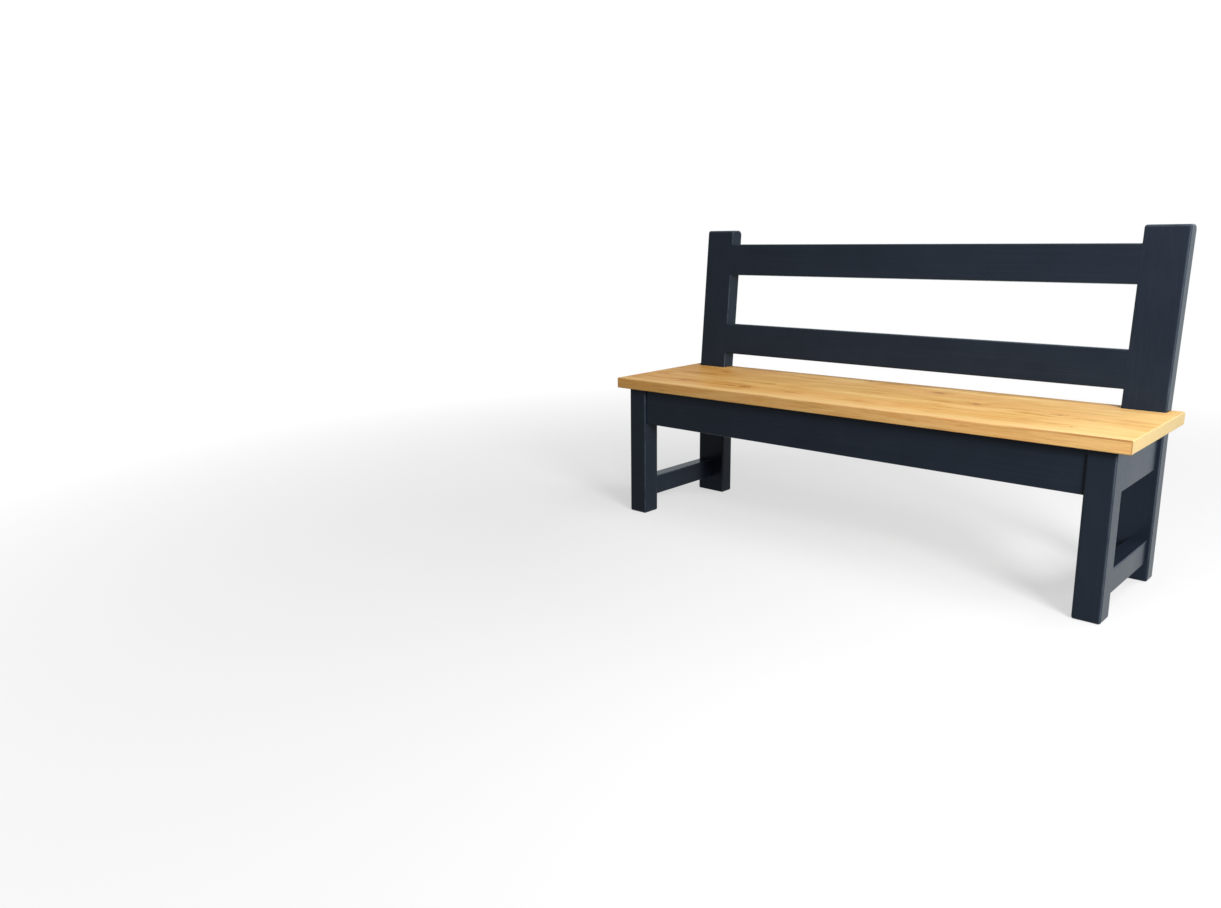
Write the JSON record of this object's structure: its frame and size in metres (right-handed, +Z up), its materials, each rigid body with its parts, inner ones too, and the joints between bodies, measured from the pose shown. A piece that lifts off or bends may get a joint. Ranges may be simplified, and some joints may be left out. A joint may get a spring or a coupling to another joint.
{
  "type": "wooden bench with a railed back",
  "caption": "Long wooden bench: a clear-finished plank seat on a dark painted frame with square front legs, raked rear posts and flat back rails.",
  "frame": {"origin": "on the floor under the middle of the bench's overall box", "axes": "+X along the length to the right of someone facing the front, +Y from front to back, +Z up"},
  "size_m": [1.524, 0.4936, 0.9124],
  "materials": {
    "painted_timber": "dark navy satin paint over planed timber, edges rounded",
    "seat_timber": "honey-coloured timber under a clear satin coat, long grain with small knots",
    "fixing_steel": "plain zinc-plated steel"
  },
  "bodies": {
    "root": {"front_leg_left": "painted_timber", "front_leg_right": "painted_timber", "rear_post_left": "painted_timber", "rear_post_right": "painted_timber", "lower_back_rail": "painted_timber", "top_back_rail": "painted_timber", "front_apron": "painted_timber", "rear_apron": "painted_timber", "end_apron_left": "painted_timber", "end_apron_right": "painted_timber", "end_stretcher_left": "painted_timber", "end_stretcher_right": "painted_timber", "seat_bearer": "painted_timber", "seat_board_1": "seat_timber", "seat_board_2": "seat_timber", "seat_board_3": "seat_timber", "seat_brackets": "fixing_steel", "bracket_rail_screws": "fixing_steel", "bracket_seat_screws": "fixing_steel"}
  },
  "joints": []
}
